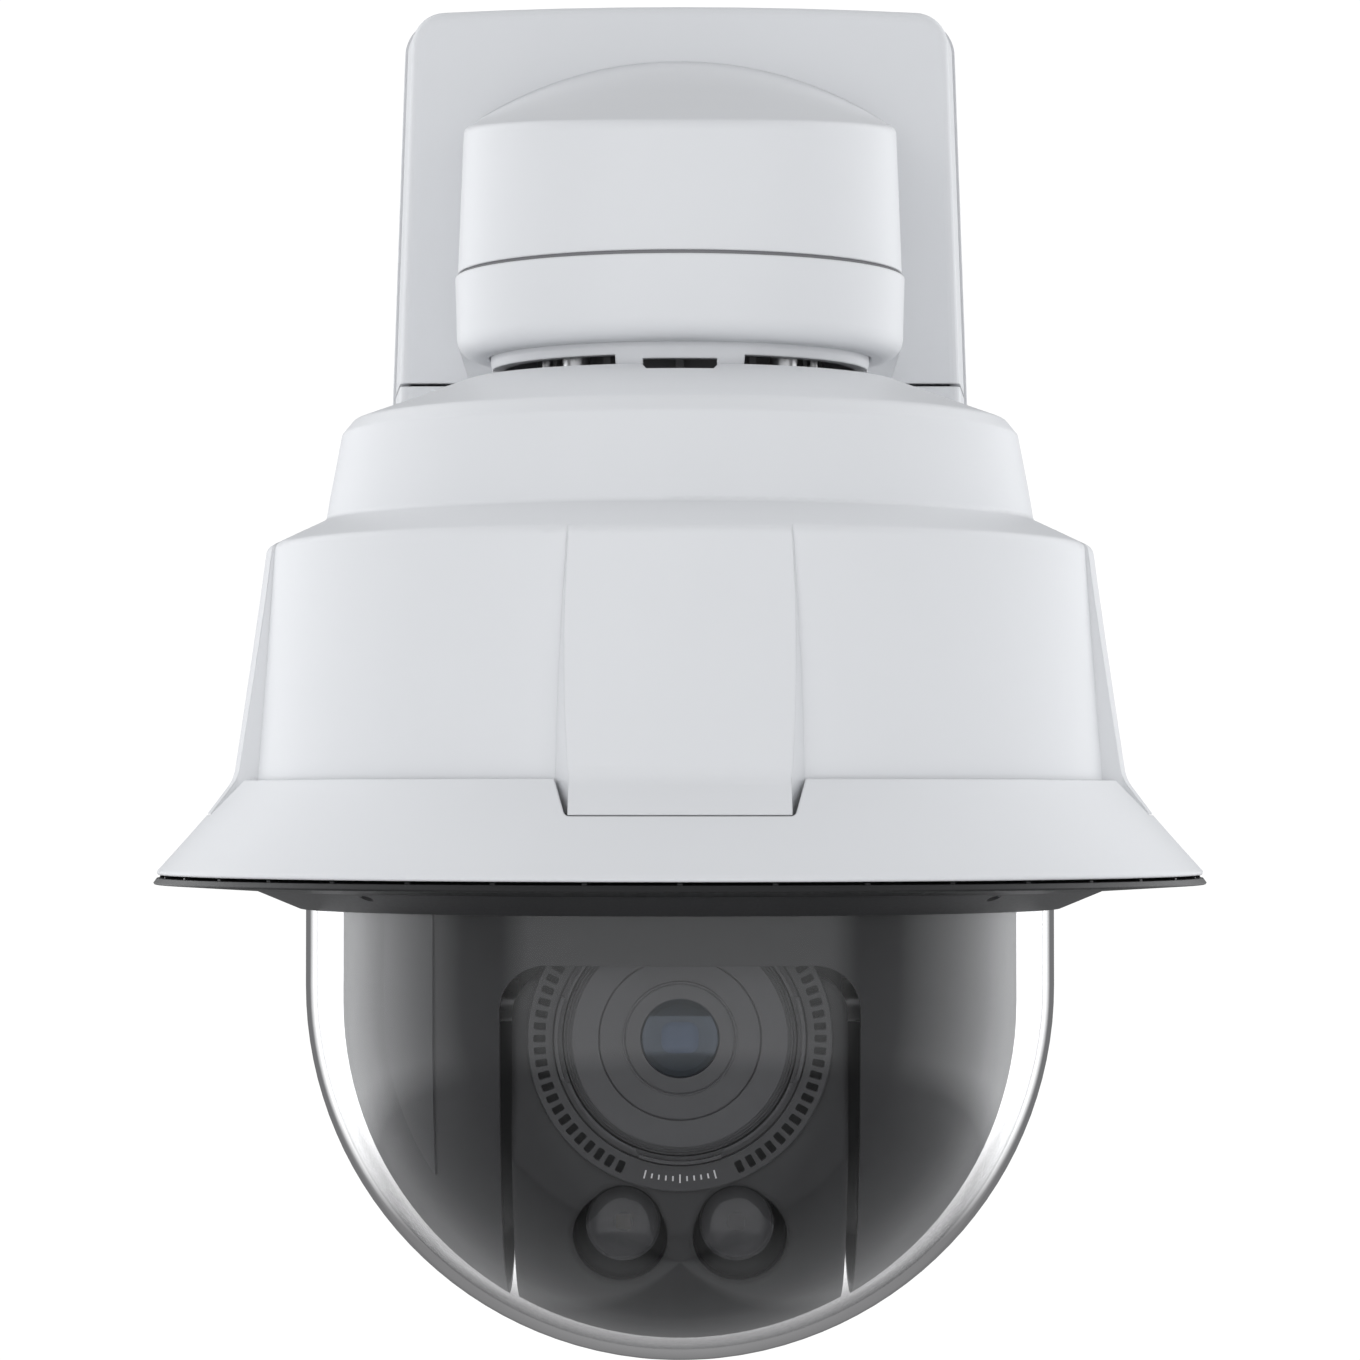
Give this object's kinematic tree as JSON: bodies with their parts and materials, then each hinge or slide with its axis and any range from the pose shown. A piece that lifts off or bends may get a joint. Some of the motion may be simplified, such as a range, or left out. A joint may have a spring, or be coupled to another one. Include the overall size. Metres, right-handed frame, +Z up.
{
  "type": "pan tilt zoom dome camera on wall bracket",
  "caption": "Outdoor pan-tilt-zoom dome camera with a stepped white housing, flared weather brim and clear dome, hung from a wall bracket.",
  "frame": {"origin": "centre of the wall bolt pattern on the wall plane", "axes": "+Y into the wall, +Z up, camera hangs at -Y"},
  "size_m": [0.2496, 0.3098, 0.3519],
  "materials": {
    "white_paint": "fine satin powder coat",
    "grey_casting": "die cast, matt",
    "rubber": "matt",
    "steel": "bright zinc",
    "black_steel": "black oxide",
    "black_plastic": "matt black",
    "dark_plastic": "fine satin dark grey",
    "clear_dome": "optically clear, hard coated",
    "optical_glass": "coated glass",
    "circuit_board": "green solder mask",
    "aluminium": "machined",
    "gear_plastic": "natural moulded acetal",
    "brass": "machined"
  },
  "bodies": {
    "root": {"bracket_casting": "white_paint", "wall_box_lower": "white_paint", "conduit_plug": "white_paint", "wall_back_tray": "white_paint", "cable_grommet": "rubber", "bracket_bolts": "steel", "head_ring": "white_paint", "head_gasket": "rubber", "mount_adapter": "white_paint", "adapter_core": "grey_casting", "adapter_screws": "steel", "cable_gland": "black_plastic", "top_cover": "white_paint", "weather_brim": "white_paint", "brim_screws": "steel", "trim_ring": "dark_plastic", "dome_retaining_ring": "dark_plastic", "dome_screws": "black_steel", "clear_dome": "clear_dome", "dome_seal": "rubber", "base_ring": "grey_casting", "top_casting": "grey_casting", "chassis_plate": "grey_casting", "frame_posts": "steel", "main_board": "circuit_board", "heat_sink": "aluminium", "network_socket": "aluminium", "pan_motor": "aluminium", "slip_ring_stator": "black_plastic", "fan_frame": "black_plastic", "fan_feet": "rubber", "button_block": "black_plastic", "pan_bearing_outer": "steel", "bearing_balls": "steel"},
    "pan": {"turntable": "grey_casting", "pan_gear": "gear_plastic", "pan_bearing_inner": "steel", "slip_ring_rotor": "black_plastic", "pan_shell": "dark_plastic", "yoke": "grey_casting", "tilt_bearings": "steel", "tilt_motor": "aluminium"},
    "tilt": {"tilt_housing": "dark_plastic", "tilt_shafts": "steel", "tilt_gear": "gear_plastic", "lens_bezel": "dark_plastic", "hood_ring": "dark_plastic", "lens_barrel": "dark_plastic", "lens_front_ring": "dark_plastic", "front_glass": "optical_glass", "lamp_modules": "dark_plastic", "lamp_lenses": "optical_glass", "sensor_board": "circuit_board"},
    "pan_pinion": {"pan_pinion": "brass"},
    "tilt_pinion": {"tilt_pinion": "brass"},
    "fan_rotor": {"fan_rotor": "black_plastic"},
    "control_button": {"control_button": "black_plastic"},
    "zoom_group": {"zoom_group": "black_plastic"},
    "focus_group": {"focus_group": "black_plastic"},
    "ir_cut_filter": {"ir_cut_filter": "optical_glass"}
  },
  "joints": [
    {"name": "pan", "type": "hinge", "parent": "root", "child": "pan", "pos_m": [0, -0.185, -0.1], "axis": [0, 0, 1], "continuous": true},
    {"name": "tilt", "type": "hinge", "parent": "pan", "child": "tilt", "pos_m": [0, -0.185, -0.1663], "axis": [1, 0, 0], "range_deg": [0, 90]},
    {"name": "pan_pinion_spin", "type": "hinge", "parent": "root", "child": "pan_pinion", "pos_m": [-0.04015, -0.24234, -0.1], "axis": [0, 0, 1], "continuous": true},
    {"name": "tilt_pinion_spin", "type": "hinge", "parent": "pan", "child": "tilt_pinion", "pos_m": [0.052, -0.185, -0.1403], "axis": [1, 0, 0], "range_deg": [-310, 10]},
    {"name": "fan_spin", "type": "hinge", "parent": "root", "child": "fan_rotor", "pos_m": [0.03575, -0.12308, -0.085], "axis": [0, 0, 1], "continuous": true},
    {"name": "button_press", "type": "slide", "parent": "root", "child": "control_button", "axis": [0, 0, -1], "range_m": [0, 0.0009], "stiffness_N_per_m": 400, "springref_m": -0.0005},
    {"name": "zoom_travel", "type": "slide", "parent": "tilt", "child": "zoom_group", "axis": [0, -1, 0], "range_m": [0, 0.012]},
    {"name": "focus_travel", "type": "slide", "parent": "tilt", "child": "focus_group", "axis": [0, -1, 0], "range_m": [-0.004, 0.006]},
    {"name": "filter_travel", "type": "slide", "parent": "tilt", "child": "ir_cut_filter", "axis": [1, 0, 0], "range_m": [0, 0.008]}
  ],
  "couplings": [
    {"joint": "pan_pinion_spin", "follows": "pan", "ratio": -6},
    {"joint": "tilt_pinion_spin", "follows": "tilt", "ratio": -3.3333}
  ]
}
